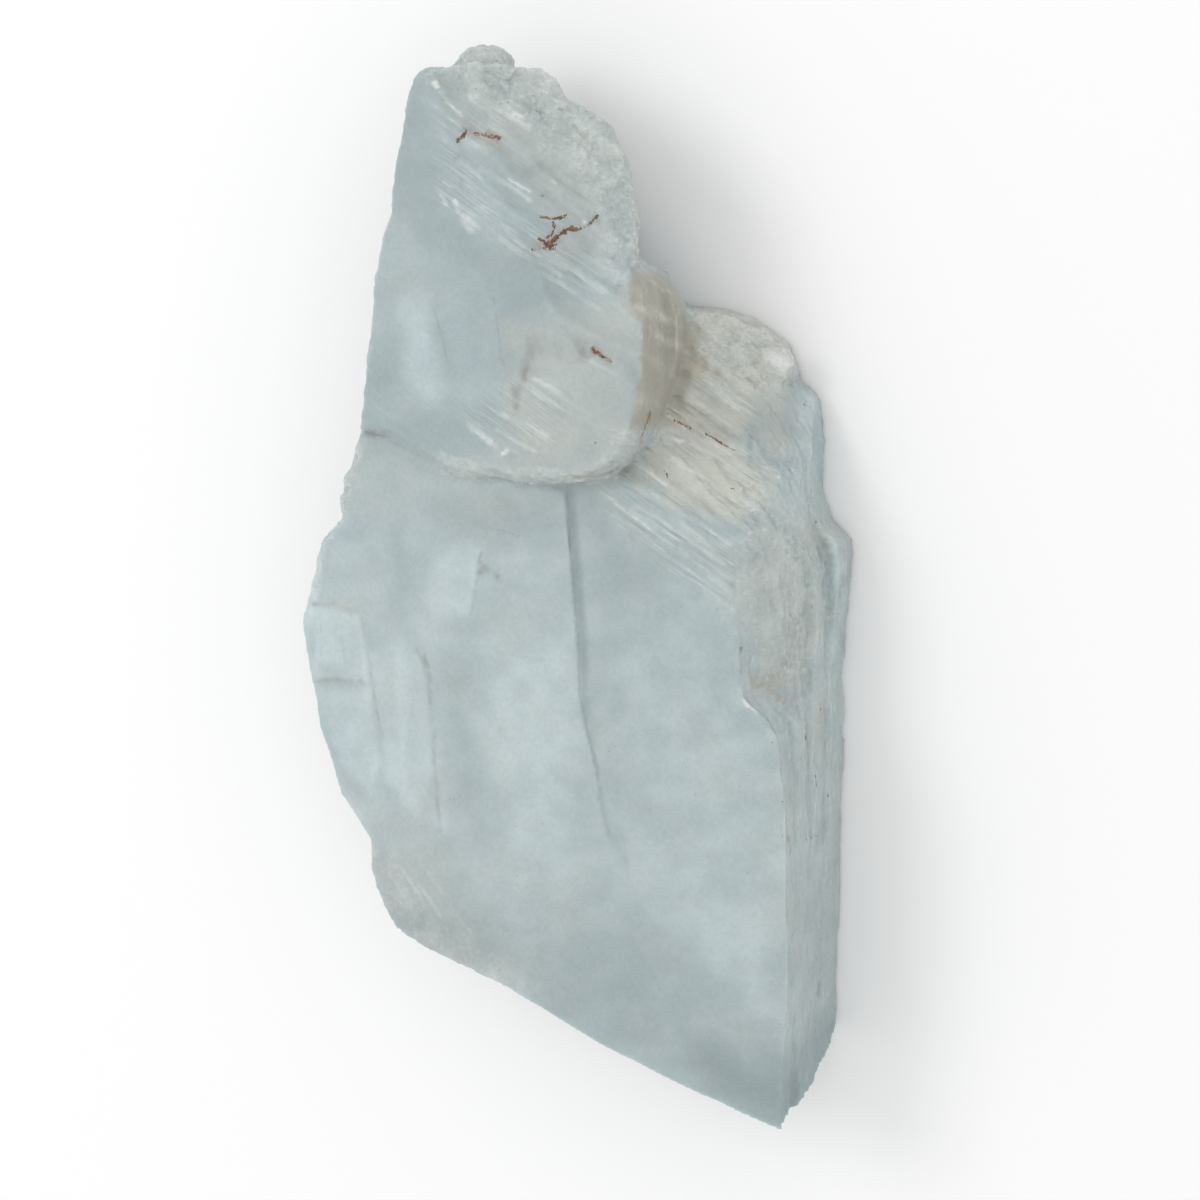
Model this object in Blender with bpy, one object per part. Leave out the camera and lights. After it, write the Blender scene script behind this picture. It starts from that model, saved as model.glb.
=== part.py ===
"""A slab of natural selenite, the clear kind of gypsum, lying on its back cleavage face.

Selenite splits into flat sheets. The slab is a stack of such sheets, each with its own broken outline,
and a second, shorter blade grew through the stack at its upper end. It all grew as one piece, so it is
one solid.

+X is the slab's right, +Y runs along it to the blade's tip, and +Z is the way its front face looks. The
slab rests on z = 0. Run it with: blender --background --python part.py
"""

import math

import bmesh
import bpy
from mathutils import Matrix, Vector, noise

MM = 0.001

# Heights above the resting face, mm.
BACK_SHEET = (0.0, 7.0)
LOWER_SHEET = (6.5, 12.2)
MIDDLE_SHEET = (11.7, 17.0)
FRONT_SHEET = (16.5, 22.0)
SKIN = (20.5, 22.02)
SKIN_RISE = 0.015  # the skin thickens towards the blade, from next to nothing at its lower end
SKIN_END_Y = -41.0
BLADE_BACK = (1.4, 9.0)
BLADE_MIDDLE = (8.4, 15.2)
BLADE_FRONT = (14.4, 26.1)
BLADE_TIP_FRONT = (14.9, 26.4)
BLADE_TILT = 0.125  # the blade's front rises to the right
BLADE_WALL = (6.0, 15.0)

# How the broken sides are made, mm.
STEP = 3.1  # spacing of points along a side
BAND = 2.3  # thickness of the bundles of sheets that show in a side
LEDGE = 0.15  # half the height over which one bundle gives way to the next
OFFSET = 0.22  # how far one bundle stands in or out from its neighbours
JAG_SIZE = 4.5  # size of the larger jags along a side

# The cleavage lines all run this way in the plane of the sheets, and the broken slopes fall square to it.
CLEAVAGE = Vector((0.787, -0.618, 0.0))
FALL = Vector((0.618, 0.787, 0.0))

# Corners of each sheet, mm: x, y and how ragged the side from this corner to the next one is.
LEFT_SIDE = [
    (-28.9, 21.7, 0.3), (-31.9, 14.4, 0.3), (-32.3, 9.4, 0.4), (-35.8, 5.8, 0.4), (-37.4, 0.8, 0.3),
    (-39.2, -5.7, 0.2), (-38.8, -9.9, 0.2), (-36.6, -20.4, 0.2), (-33.0, -29.8, 0.2), (-28.3, -36.1, 0.2),
    (-28.3, -39.9, 0.2), (-26.8, -45.5, 0.2), (-24.6, -48.5, 0.2), (-20.6, -50.5, 0.2),
    (-15.2, -52.3, 0.2), (-7.7, -54.2, 0.2), (7.0, -61.5, 0.2), (21.5, -67.4, 0.2),
]
TIP = (32.9, -71.4, 0.1)
LOWER_CORNER = (34.2, -67.5, 0.1)
BACK_SHEET_RIGHT = [
    TIP, LOWER_CORNER, (34.2, -61.5, 0.2), (34.6, -43.5, 0.2), (34.9, -29.4, 0.2), (35.1, -16.7, 0.2),
    (34.6, -13.5, 0.2), (35.1, -8.3, 0.2), (36.1, 4.2, 0.1), (35.9, 7.2, 0.1), (33.0, 9.8, 0.1),
    (31.8, 13.8, 0.1), (32.0, 20.7, 0.1), (31.2, 26.6, 0.2), (28.6, 28.8, 0.2), (27.4, 31.6, 0.3),
    (26.4, 34.0, 0.3), (23.4, 36.2, 0.3), (18.2, 38.2, 0.3), (13.0, 38.8, 0.3), (6.0, 40.0, 0.3),
    (-8.0, 38.0, 0.3), (-23.8, 33.0, 0.3),
]
LOWER_SHEET_RIGHT = [
    TIP, LOWER_CORNER, (33.9, -58.5, 0.2), (34.2, -42.0, 0.2), (34.4, -28.0, 0.2), (34.1, -14.0, 0.2),
    (34.6, -4.0, 0.2), (34.2, 4.0, 0.2), (32.4, 9.0, 0.2), (31.6, 15.0, 0.2), (31.2, 20.0, 0.2),
    (30.2, 28.0, 0.3), (26.0, 33.8, 0.4), (19.5, 37.4, 0.4), (13.5, 38.2, 0.4), (4.0, 37.0, 0.4),
    (-25.4, 30.5, 0.3),
]
MIDDLE_SHEET_RIGHT = [
    TIP, LOWER_CORNER, (33.7, -56.0, 0.2), (33.9, -41.0, 0.2), (33.8, -27.0, 0.2), (33.4, -16.5, 0.3),
    (30.4, -13.2, 0.3), (28.6, -9.0, 0.2), (28.3, -2.0, 0.2), (28.8, 6.0, 0.3), (30.0, 13.0, 0.3),
    (29.0, 27.0, 0.4), (8.0, 34.0, 0.4), (-25.0, 29.5, 0.3),
]
FRONT_SHEET_RIGHT = [
    TIP, (33.8, -53.1, 0.1), (33.6, -39.4, 0.1), (33.2, -25.7, 0.1), (31.9, -17.4, 0.2),
    (29.2, -14.2, 0.2), (27.3, -12.4, 0.1), (26.7, -9.4, 0.1), (26.5, -4.4, 0.1), (26.2, 2.4, 0.2),
    (27.0, 8.0, 0.2), (28.2, 13.6, 0.3), (28.0, 26.0, 0.4), (8.0, 32.0, 0.4), (-26.4, 28.5, 0.3),
]
SKIN_SIDES = [
    (2.0, 21.0, 0.0), (-22.0, 21.0, 0.0), (-21.2, 11.0, 0.1), (-19.4, -9.5, 0.1), (-17.4, -28.0, 0.1),
    (-14.0, -41.0, 0.1), (12.6, -41.0, 0.1), (8.7, -32.9, 0.1), (7.0, -26.0, 0.1), (5.5, -19.9, 0.1),
    (4.5, -15.1, 0.1), (4.0, -5.5, 0.1), (2.8, 5.4, 0.1), (2.1, 14.6, 0.1),
]
BLADE_RIM = [
    (-28.4, 21.9, 0.1), (-23.5, 21.0, 0.2), (-19.8, 19.3, 0.2), (-16.1, 17.6, 0.3), (-13.2, 16.5, 0.3),
    (-7.4, 16.4, 0.4), (-0.9, 15.9, 0.3), (5.6, 16.6, 0.3), (8.8, 17.5, 0.4), (11.8, 19.4, 0.4),
    (13.8, 22.1, 0.4), (14.6, 27.5, 0.2), (14.4, 33.2, 0.1), (14.0, 38.5, 0.2), (13.2, 43.2, 0.2),
]
BLADE_LEFT = [
    (-19.6, 70.0, 0.1), (-21.4, 63.1, 0.2), (-22.7, 55.0, 0.3), (-24.8, 45.8, 0.3), (-25.6, 41.4, 0.3),
    (-27.0, 29.8, 0.2), (-28.0, 23.6, 0.1),
]
BLADE_BODY_TOP = [
    (9.0, 47.2, 0.2), (0.0, 58.0, 0.3), (-9.0, 69.4, 0.2), (-15.8, 70.8, 0.1), (-18.4, 71.4, 0.1),
]
BLADE_TIP = [
    (-3.5, 50.0, 0.0), (12.0, 44.6, 0.1), (14.2, 46.6, 0.3), (14.4, 52.7, 0.4), (13.9, 56.0, 0.3),
    (12.8, 60.7, 0.3), (10.6, 64.7, 0.4), (8.4, 66.2, 0.4), (5.5, 68.0, 0.4), (4.1, 68.9, 0.4),
    (2.6, 71.2, 0.4), (0.2, 72.4, 0.4), (-3.0, 72.6, 0.3), (-6.0, 73.0, 0.3), (-10.0, 73.0, 0.2),
    (-14.0, 72.0, 0.1), (-12.0, 60.0, 0.0),
]
BLADE_TIP_LEAN = (0.40, 0.17)  # how far the tip's sides slant back, mm for each mm of height
BLADE_MIDDLE_SIDES = [
    (-26.4, 23.5, 0.3), (6.0, 24.0, 0.3), (9.0, 34.0, 0.3), (6.8, 45.0, 0.4), (5.8, 53.0, 0.4),
    (4.2, 60.0, 0.5), (-1.2, 65.2, 0.5), (-7.6, 68.6, 0.4), (-17.4, 69.4, 0.3), (-20.6, 60.0, 0.3),
    (-23.4, 46.0, 0.3), (-25.6, 34.0, 0.3),
]
BLADE_BACK_SIDES = [
    (-25.4, 25.0, 0.3), (4.0, 26.0, 0.3), (5.0, 40.0, 0.3), (3.2, 52.0, 0.4), (0.8, 59.0, 0.4),
    (-5.0, 63.8, 0.5), (-15.5, 66.4, 0.4), (-19.4, 58.0, 0.4), (-21.8, 46.0, 0.4), (-24.0, 36.0, 0.4),
]
BLADE_WALL_SIDES = [
    (2.0, 24.0, 0.0), (11.4, 22.6, 0.1), (13.8, 26.4, 0.1), (15.0, 29.9, 0.1), (15.6, 33.8, 0.1),
    (15.1, 39.6, 0.1), (13.4, 42.8, 0.2), (11.6, 45.0, 0.2), (8.0, 45.8, 0.1), (2.0, 44.0, 0.0),
]
BLADE_WALL_LEAN = (0.10, 0.14)

# The broken slope that runs down from the front edge to the lower sheet, on the right side, mm.
RIGHT_SLOPE = [
    (28.4, 19.0, 18.0), (27.0, 9.6, 20.8), (26.3, 2.4, 21.6), (26.4, -4.4, 21.7), (27.3, -11.9, 21.5),
    (30.9, 18.0, 14.6), (30.6, 9.9, 17.2), (30.9, 3.0, 17.6), (31.4, -5.0, 17.2), (31.5, -14.2, 16.9),
    (30.9, 19.5, 11.4), (32.0, 10.2, 11.4), (33.7, 3.6, 11.4), (34.0, -4.2, 11.4), (33.4, -16.2, 11.4),
    (24.3, 19.0, 11.4), (24.2, -10.1, 11.4), (24.3, 19.0, 17.0), (24.2, -10.1, 20.0),
]
RIGHT_SLOPE_FOOT = [
    (27.6, -12.1, 21.0), (28.8, -13.5, 20.8), (31.4, -16.6, 19.8), (32.9, -20.4, 17.6), (33.3, -21.5, 11.2),
    (33.5, -12.2, 11.2), (31.3, -12.2, 16.7), (27.0, -12.4, 13.0), (30.0, -20.0, 13.0),
]

# Flat faces, each through three points, mm.
LEFT_BEVEL = ((-20.7, 11.2, 22.0), (-16.5, -29.0, 22.0), (-39.4, -5.7, 16.9))
CORNER_BEVEL = ((-22.9, -36.6, 21.2), (-9.0, -52.6, 22.0), (-26.7, -46.5, 17.6))
LOWER_END = ((32.9, -71.4, 22.0), (33.8, -63.8, 3.0), (-20.9, -51.5, 17.8))
LOWER_HEEL = ((33.8, -63.8, 3.0), (33.6, -61.6, 0.0), (-6.2, -50.3, 3.0))
SHOULDER_FACET = ((27.5, 12.6, 19.0), (25.1, 23.0, 13.5), (31.4, 19.3, 8.5))
MIDDLE_POINT = Vector((0.0, -10.0, 10.0))


def rough_noise(x, y, layer, size):
    """Smooth noise from about -1 to 1 at a place in the plane of the sheets, different in each layer."""
    return 1.6 * noise.noise(Vector((x / size, y / size, 7.3 * layer)))


def ring(corners, layer, inset=0.0):
    """One closed turn of points round a sheet, broken along its sides, and moved in by inset."""
    points = []
    for (x, y, rough), (next_x, next_y, _) in zip(corners, corners[1:] + corners[:1]):
        along = Vector((next_x - x, next_y - y))
        outward = Vector((along.y, -along.x)).normalized()
        steps = max(1, round(along.length / STEP))
        for k in range(steps):
            place = Vector((x, y)) + along * (k / steps)
            jag = rough_noise(place.x, place.y, layer, JAG_SIZE)
            jag += 0.5 * rough_noise(place.x, place.y, layer, STEP)
            points.append(place + outward * rough * jag)
    return [moved_in(points, i, inset) for i in range(len(points))]


def moved_in(points, i, inset):
    """Point i of a ring that runs anticlockwise, moved inwards. A left side is a clean crystal face, and
    the front edge along it stays sharp."""
    along = (points[(i + 1) % len(points)] - points[i - 1]).normalized()
    inward = Vector((-along.y, along.x))
    return points[i] + inward * inset * (0.2 if inward.x > 0.8 else 1.0)


def sheet_levels(corners, heights, seed, bevel):
    """The turns of points, each with its height, up a sheet made of bands that stand in or out."""
    low, high = heights
    bands = max(1, round((high - low) / BAND))
    levels = []
    for band in range(bands):
        layer = seed + 0.35 * band
        inset = OFFSET * rough_noise(seed, band, 0.5, 0.77) if 0 < band < bands - 1 else 0.0
        foot = low + (high - low) * band / bands + (LEDGE if band else 0.0)
        head = low + (high - low) * (band + 1) / bands - (LEDGE if band < bands - 1 else bevel)
        levels.append((foot, ring(corners, layer, inset)))
        levels.append((head, ring(corners, layer, inset)))
    if bevel:
        levels.append((high, ring(corners, seed + 0.35 * (bands - 1), bevel)))
    return levels


def make_sheet(name, corners, heights, seed, collection, slope=(0, 0, 0), lean=(0, 0), bevel=0.0):
    """A sheet of the stack. slope is the slope of its top along x and y and the y that it is measured
    from, lean how far its sides slant back for each mm of height, and bevel the width of its broken
    front edge."""
    low, high = heights
    shape = bmesh.new()
    turns = []
    for z, points in sheet_levels(corners, heights, seed, bevel):
        share = (z - low) / (high - low)
        turn = []
        for p in points:
            rise = share * (slope[0] * p.x + slope[1] * (p.y - slope[2]))
            x = p.x - lean[0] * (high - z)
            y = p.y - lean[1] * (high - z)
            turn.append(shape.verts.new(Vector((x, y, z + rise)) * MM))
        turns.append(turn)
    for below, above in zip(turns, turns[1:]):
        for i in range(len(below)):
            j = (i + 1) % len(below)
            shape.faces.new((below[i], below[j], above[j], above[i]))
    shape.faces.new(list(reversed(turns[0])))
    shape.faces.new(turns[-1])
    return make_object(name, shape, collection)


def make_object(name, shape, collection):
    """A mesh object from a bmesh, in triangles that all face outwards."""
    bmesh.ops.triangulate(shape, faces=shape.faces)
    bmesh.ops.recalc_face_normals(shape, faces=shape.faces)
    mesh = bpy.data.meshes.new(name)
    shape.to_mesh(mesh)
    shape.free()
    obj = bpy.data.objects.new(name, mesh)
    collection.objects.link(obj)
    return obj


def terraced(z, height):
    """z with the flat treads and steep risers that a slope across a stack of sheets breaks into."""
    tread = 0.62
    whole = math.floor(z / height)
    part = z / height - whole
    return (whole + max(0.0, part - tread) / (1 - tread)) * height


def make_slope_cutter(name, foot, fall_deg, seed, collection, terrace, left_end=None):
    """A block with a broken underside. The slope that it leaves runs along the cleavage lines through
    foot, and falls away from there at fall_deg. left_end is two points of an upright plane that the
    block stops at."""
    across, along = 80, 24
    span, before, reach = 70.0, 12.0, 52.0
    shape = bmesh.new()
    bmesh.ops.create_grid(shape, x_segments=along, y_segments=across, size=1.0)
    for v in shape.verts:
        u = v.co.x * span / 2
        w = -before + (v.co.y + 1) / 2 * (reach + before)
        place = Vector(foot) + CLEAVAGE * u + FALL * w
        z = foot[2] - w * math.tan(math.radians(fall_deg))
        z += 0.5 * rough_noise(place.x, place.y, seed, 9.0)
        z += 0.22 * rough_noise(place.x, place.y, seed, 3.5)
        v.co = Vector((place.x, place.y, terraced(z, terrace))) * MM
    lifted = bmesh.ops.extrude_face_region(shape, geom=shape.faces[:])
    for v in lifted["geom"]:
        if isinstance(v, bmesh.types.BMVert):
            v.co.z = 60.0 * MM
    if left_end:
        start, end = (Vector((x, y, 0.0)) * MM for x, y in left_end)
        side = (end - start).cross(Vector((0.0, 0.0, 1.0)))
        geometry = shape.verts[:] + shape.edges[:] + shape.faces[:]
        cut = bmesh.ops.bisect_plane(
            shape, geom=geometry, plane_co=start, plane_no=side, clear_outer=True
        )
        open_edges = [e for e in cut["geom_cut"] if isinstance(e, bmesh.types.BMEdge)]
        bmesh.ops.holes_fill(shape, edges=open_edges, sides=0)
    return make_object(name, shape, collection)


def make_facet_cutter(name, points, collection, size=160.0):
    """A cube that leaves one flat face through three points, on the side away from the middle."""
    first, second, third = (Vector(p) for p in points)
    normal = (second - first).cross(third - first).normalized()
    if normal.dot(first - MIDDLE_POINT) < 0:
        normal.negate()
    shape = bmesh.new()
    bmesh.ops.create_cube(shape, size=size * MM)
    turn = normal.to_track_quat("Z", "Y").to_matrix().to_4x4()
    shape.transform(Matrix.Translation((first + normal * size / 2) * MM) @ turn)
    return make_object(name, shape, collection)


def make_lump(name, centre, radii, seed, collection):
    """An angular crumb of crystal on a broken edge."""
    shape = bmesh.new()
    bmesh.ops.create_icosphere(shape, subdivisions=2, radius=1.0)
    for v in shape.verts:
        swell = 1 + 0.24 * rough_noise(v.co.x + seed, v.co.y + v.co.z, seed, 0.37)
        v.co = (Vector(centre) + Vector(v.co[i] * radii[i] for i in range(3)) * swell) * MM
    return make_object(name, shape, collection)


def make_filled_corner(name, points, collection):
    """The smallest outward-curving solid round some points, where a break has left a corner filled."""
    shape = bmesh.new()
    for point in points:
        shape.verts.new(Vector(point) * MM)
    hull = bmesh.ops.convex_hull(shape, input=shape.verts)
    loose = [v for v in hull["geom_interior"] if isinstance(v, bmesh.types.BMVert)]
    bmesh.ops.delete(shape, geom=loose, context="VERTS")
    return make_object(name, shape, collection)


def boolean(obj, operation, others):
    """Adds one Boolean modifier, with an object or with a whole collection."""
    modifier = obj.modifiers.new(f"{operation.lower()} {others.name}", "BOOLEAN")
    modifier.operation = operation
    modifier.solver = "EXACT"
    if isinstance(others, bpy.types.Collection):
        modifier.operand_type = "COLLECTION"
        modifier.collection = others
    else:
        modifier.object = others


def make_main_slab(tools):
    """The stack of sheets, with its broken shoulder, its bevelled left side and its flat lower end."""
    sheets = new_collection("main sheets", tools)
    breaks = new_collection("main breaks", tools)
    back = make_sheet("back_sheet", BACK_SHEET_RIGHT + shifted(LEFT_SIDE, 2.2), BACK_SHEET, 1, tools)
    make_sheet("lower_sheet", LOWER_SHEET_RIGHT + shifted(LEFT_SIDE, 0.9), LOWER_SHEET, 2, sheets)
    make_sheet("middle_sheet", MIDDLE_SHEET_RIGHT + shifted(LEFT_SIDE, 1.6), MIDDLE_SHEET, 3, sheets)
    make_sheet("front_sheet", FRONT_SHEET_RIGHT + LEFT_SIDE, FRONT_SHEET, 4, sheets)
    make_sheet("skin", SKIN_SIDES, SKIN, 5, sheets, slope=(0.0, SKIN_RISE, SKIN_END_Y))
    make_filled_corner("right_slope", RIGHT_SLOPE, sheets)
    make_filled_corner("right_slope_foot", RIGHT_SLOPE_FOOT, sheets)
    make_slope_cutter("shoulder_start", (9.8, 15.2, 22.0), 14.0, 11, breaks, terrace=0.8)
    make_slope_cutter("shoulder_slope", (14.1, 20.7, 20.3), 42.0, 12, breaks, terrace=2.0)
    make_facet_cutter("shoulder_facet", SHOULDER_FACET, breaks)
    make_facet_cutter("left_bevel", LEFT_BEVEL, breaks)
    make_facet_cutter("corner_bevel", CORNER_BEVEL, breaks)
    make_facet_cutter("lower_end", LOWER_END, breaks)
    make_facet_cutter("lower_heel", LOWER_HEEL, breaks)
    boolean(back, "UNION", sheets)
    boolean(back, "DIFFERENCE", breaks)
    return back


def shifted(corners, distance):
    """The corners of a side, moved along +X."""
    return [(x + distance, y, rough) for x, y, rough in corners]


def make_blade(tools):
    """The short blade that stands proud at the upper end, and the crumb on its broken tip."""
    sheets = new_collection("blade sheets", tools)
    body_sides = BLADE_RIM + BLADE_BODY_TOP + BLADE_LEFT
    tilt = (BLADE_TILT, 0.0, 0.0)
    body = make_sheet("blade_body", body_sides, BLADE_FRONT, 6, tools, slope=tilt, bevel=1.4)
    make_sheet("blade_tip", BLADE_TIP, BLADE_TIP_FRONT, 10, sheets, slope=tilt, lean=BLADE_TIP_LEAN)
    make_sheet("blade_middle", BLADE_MIDDLE_SIDES, BLADE_MIDDLE, 7, sheets)
    make_sheet("blade_back", BLADE_BACK_SIDES, BLADE_BACK, 8, sheets)
    make_sheet("blade_wall", BLADE_WALL_SIDES, BLADE_WALL, 9, sheets, lean=BLADE_WALL_LEAN)
    make_lump("tip_crumb", (-12.6, 70.1, 14.8), (4.7, 4.1, 4.6), 3, sheets)
    left_end = ((-16.0, 70.5), (-9.1, 51.0))
    slope = make_slope_cutter("blade_slope", (2.3, 42.8, 26.0), 16.0, 13, tools, 1.1, left_end)
    boolean(body, "UNION", sheets)
    boolean(body, "DIFFERENCE", slope)
    return body


def applied(obj, name, collection):
    """The object's evaluated mesh as a new object, with its flat faces merged, and its middle over the
    origin."""
    graph = bpy.context.evaluated_depsgraph_get()
    shape = bmesh.new()
    shape.from_mesh(bpy.data.meshes.new_from_object(obj.evaluated_get(graph)))
    bmesh.ops.dissolve_degenerate(shape, dist=0.02 * MM, edges=shape.edges)
    bmesh.ops.dissolve_limit(
        shape, angle_limit=math.radians(0.4), verts=shape.verts, edges=shape.edges, delimit={"NORMAL"}
    )
    low, high = bounds(shape)
    shape.transform(Matrix.Translation((-(low.x + high.x) / 2, -(low.y + high.y) / 2, -low.z)))
    return make_object(name, shape, collection)


def bounds(shape):
    """The lowest and highest corners of a bmesh's box."""
    low = Vector(min(v.co[i] for v in shape.verts) for i in range(3))
    high = Vector(max(v.co[i] for v in shape.verts) for i in range(3))
    return low, high


def selenite_material():
    """Milky, faintly blue-grey gypsum with a satin surface."""
    material = bpy.data.materials.new("selenite")
    material.use_nodes = True
    shader = material.node_tree.nodes["Principled BSDF"]
    shader.inputs["Base Color"].default_value = (0.42, 0.49, 0.50, 1.0)
    shader.inputs["Metallic"].default_value = 0.0
    shader.inputs["Roughness"].default_value = 0.4
    shader.inputs["IOR"].default_value = 1.52
    return material


def clear_scene():
    for obj in list(bpy.data.objects):
        bpy.data.objects.remove(obj)


def new_collection(name, parent):
    collection = bpy.data.collections.new(name)
    parent.children.link(collection)
    return collection


def main():
    clear_scene()
    slab_collection = new_collection("selenite_slab", bpy.context.scene.collection)
    tools = new_collection("tools", bpy.context.scene.collection)
    tools.hide_render = True
    slab_stack = make_main_slab(tools)
    crumb = make_lump("shoulder_crumb", (26.0, 31.2, 5.4), (3.3, 2.7, 2.1), 5, tools)
    boolean(slab_stack, "UNION", make_blade(tools))
    boolean(slab_stack, "UNION", crumb)
    slab = applied(slab_stack, "selenite_slab", slab_collection)
    slab.data.materials.append(selenite_material())
    slab.data.shade_smooth()
    slab.data.set_sharp_from_angle(angle=math.radians(25))
    for obj in list(tools.all_objects):
        bpy.data.objects.remove(obj)


main()
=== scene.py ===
"""The looks of the selenite slab: its broken surfaces, its material and its marks, with the light and camera.

Lengths are in mm, in the frame of the CAD model, unless a line says otherwise. +Z is the way the front
face looks. Each call of noise, areas or marks has a seed of its own, the whole number after its size or
its table.
"""

import math

import bmesh
import bpy
import numpy as np
from mathutils import Matrix, Vector


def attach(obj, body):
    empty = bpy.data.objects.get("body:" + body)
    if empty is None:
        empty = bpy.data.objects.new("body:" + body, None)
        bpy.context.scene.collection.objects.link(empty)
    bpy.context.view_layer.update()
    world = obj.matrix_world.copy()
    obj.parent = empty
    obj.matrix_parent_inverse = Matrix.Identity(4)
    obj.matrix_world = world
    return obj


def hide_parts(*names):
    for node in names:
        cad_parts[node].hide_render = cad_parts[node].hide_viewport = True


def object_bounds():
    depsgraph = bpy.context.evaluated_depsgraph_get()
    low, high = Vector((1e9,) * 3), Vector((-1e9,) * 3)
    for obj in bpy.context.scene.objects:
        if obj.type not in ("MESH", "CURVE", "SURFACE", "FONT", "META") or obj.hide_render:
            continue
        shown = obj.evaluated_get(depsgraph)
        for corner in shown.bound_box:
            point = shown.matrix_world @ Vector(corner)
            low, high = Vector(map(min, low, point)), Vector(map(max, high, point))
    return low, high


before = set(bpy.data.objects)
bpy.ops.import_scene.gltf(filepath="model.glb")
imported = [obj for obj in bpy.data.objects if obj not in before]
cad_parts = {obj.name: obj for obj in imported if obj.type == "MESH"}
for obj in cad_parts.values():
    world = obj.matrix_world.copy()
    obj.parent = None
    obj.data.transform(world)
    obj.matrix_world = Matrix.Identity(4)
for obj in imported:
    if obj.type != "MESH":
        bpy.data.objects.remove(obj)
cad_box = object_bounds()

MM = 0.001
VOXEL = 0.42  # size of the surface's squares before it is thinned out
MOST_TRIANGLES = 105000  # what thinning leaves, before edges are split again for the colours
BACK_SPARE = 1.6  # triangles that thinning takes out of the back for each of its points
LONGEST_EDGE = 1.1  # on the front and the sides
LONGEST_MARKED_EDGE = 0.4  # near thin marks and sharp outlines
LOWEST_DETAIL = 3.0  # below this height there are no marks and no split edges
SHARP_ANGLE = 38  # degrees, from which an edge between two triangles isn't shaded smooth

# Heights of the relief.
BLOCKS = 0.13
SPLINTERS = 0.09
CHIPS = 0.18
GRAINS = 0.08
RIDGES = 0.13
WAVES = 0.04
BACK_FLAKES = 0.12
SUNK = 0.02  # how far the whole surface is moved in
EVEN = 0.8  # the share of the relief that an even side loses

# Along and across the cleavage lines, in the plane of the sheets.
ALONG = (0.857, -0.515)
ACROSS = (0.515, 0.857)
CLEAVAGE_ANGLE = math.atan2(-ALONG[1], ALONG[0])

# Colours in red, green and blue, from 0 to 255.
COLOURS = {
    "body, darkest": (178, 193, 196),
    "body, palest": (206, 218, 219),
    "warm patches": (202, 199, 190),
    "deep": (160, 175, 178),
    "milky": (226, 239, 242),
    "creamy": (236, 230, 213),
    "panes": (240, 248, 250),
    "flakes": (234, 238, 234),
    "tan wall": (180, 175, 161),
    "strands in the tan wall": (216, 213, 202),
    "shadow of the crack": (140, 158, 162),
    "smudges": (130, 124, 119),
    "rust": (176, 146, 108),
    # White for painted glints (sparkles and highlights on streaks and edges) and for real white marks.
    "painted glints and white marks": (252, 254, 252),
    "crumbs": (238, 242, 238),
    "dirt between crumbs": (156, 148, 136),
    "edges of sheets": (166, 178, 177),
    # Fibres: whitish fibres, lighter partly as painted sheen on their ridges.
    "fibres": (222, 231, 228),
    "fine fibres": (244, 248, 242),
    "gaps between fibres": (156, 158, 148),
    "stain, dark": (112, 76, 54),
    "stain, light": (152, 112, 84),
    "stain in a side": (112, 116, 108),
}

# Values of the selenite's own shader sockets.
SHADER = {
    "IOR": 1.52,
    "Transmission Weight": 0.24,
    "Subsurface Weight": 0.7,
    "Subsurface Radius": (0.9, 1.0, 1.0),
    "Subsurface Scale": 1.5 * MM,
}

# Areas, seen from the front: how soft the edge is, how strong, and the corners.
# Silky where the cleavage shows its fibres.
SILKY = [
    (1.5, 1.0, [(13.0, 18.6), (15.6, 24.5), (18.0, 30.0), (24.0, 29.0), (27.0, 25.5), (30.5, 18.0),
                (29.0, 10.5), (27.0, -1.5), (17.1, 3.4), (7.0, 12.6)]),
    (2.0, 0.6, [(-14.0, 67.5), (-3.3, 66.5), (6.0, 60.0), (11.0, 50.0), (12.0, 40.0), (4.0, 39.6),
                (-7.6, 48.7), (-13.8, 52.2)]),
    (2.0, 0.5, [(-11.0, 23.0), (-3.0, 27.5), (5.0, 28.5), (8.0, 23.0), (3.0, 18.8), (-4.6, 17.8)]),
    (2.0, 0.15, [(-27.0, 23.0), (-12.0, 18.0), (-10.0, 25.0), (-24.0, 34.0)]),
]
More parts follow.
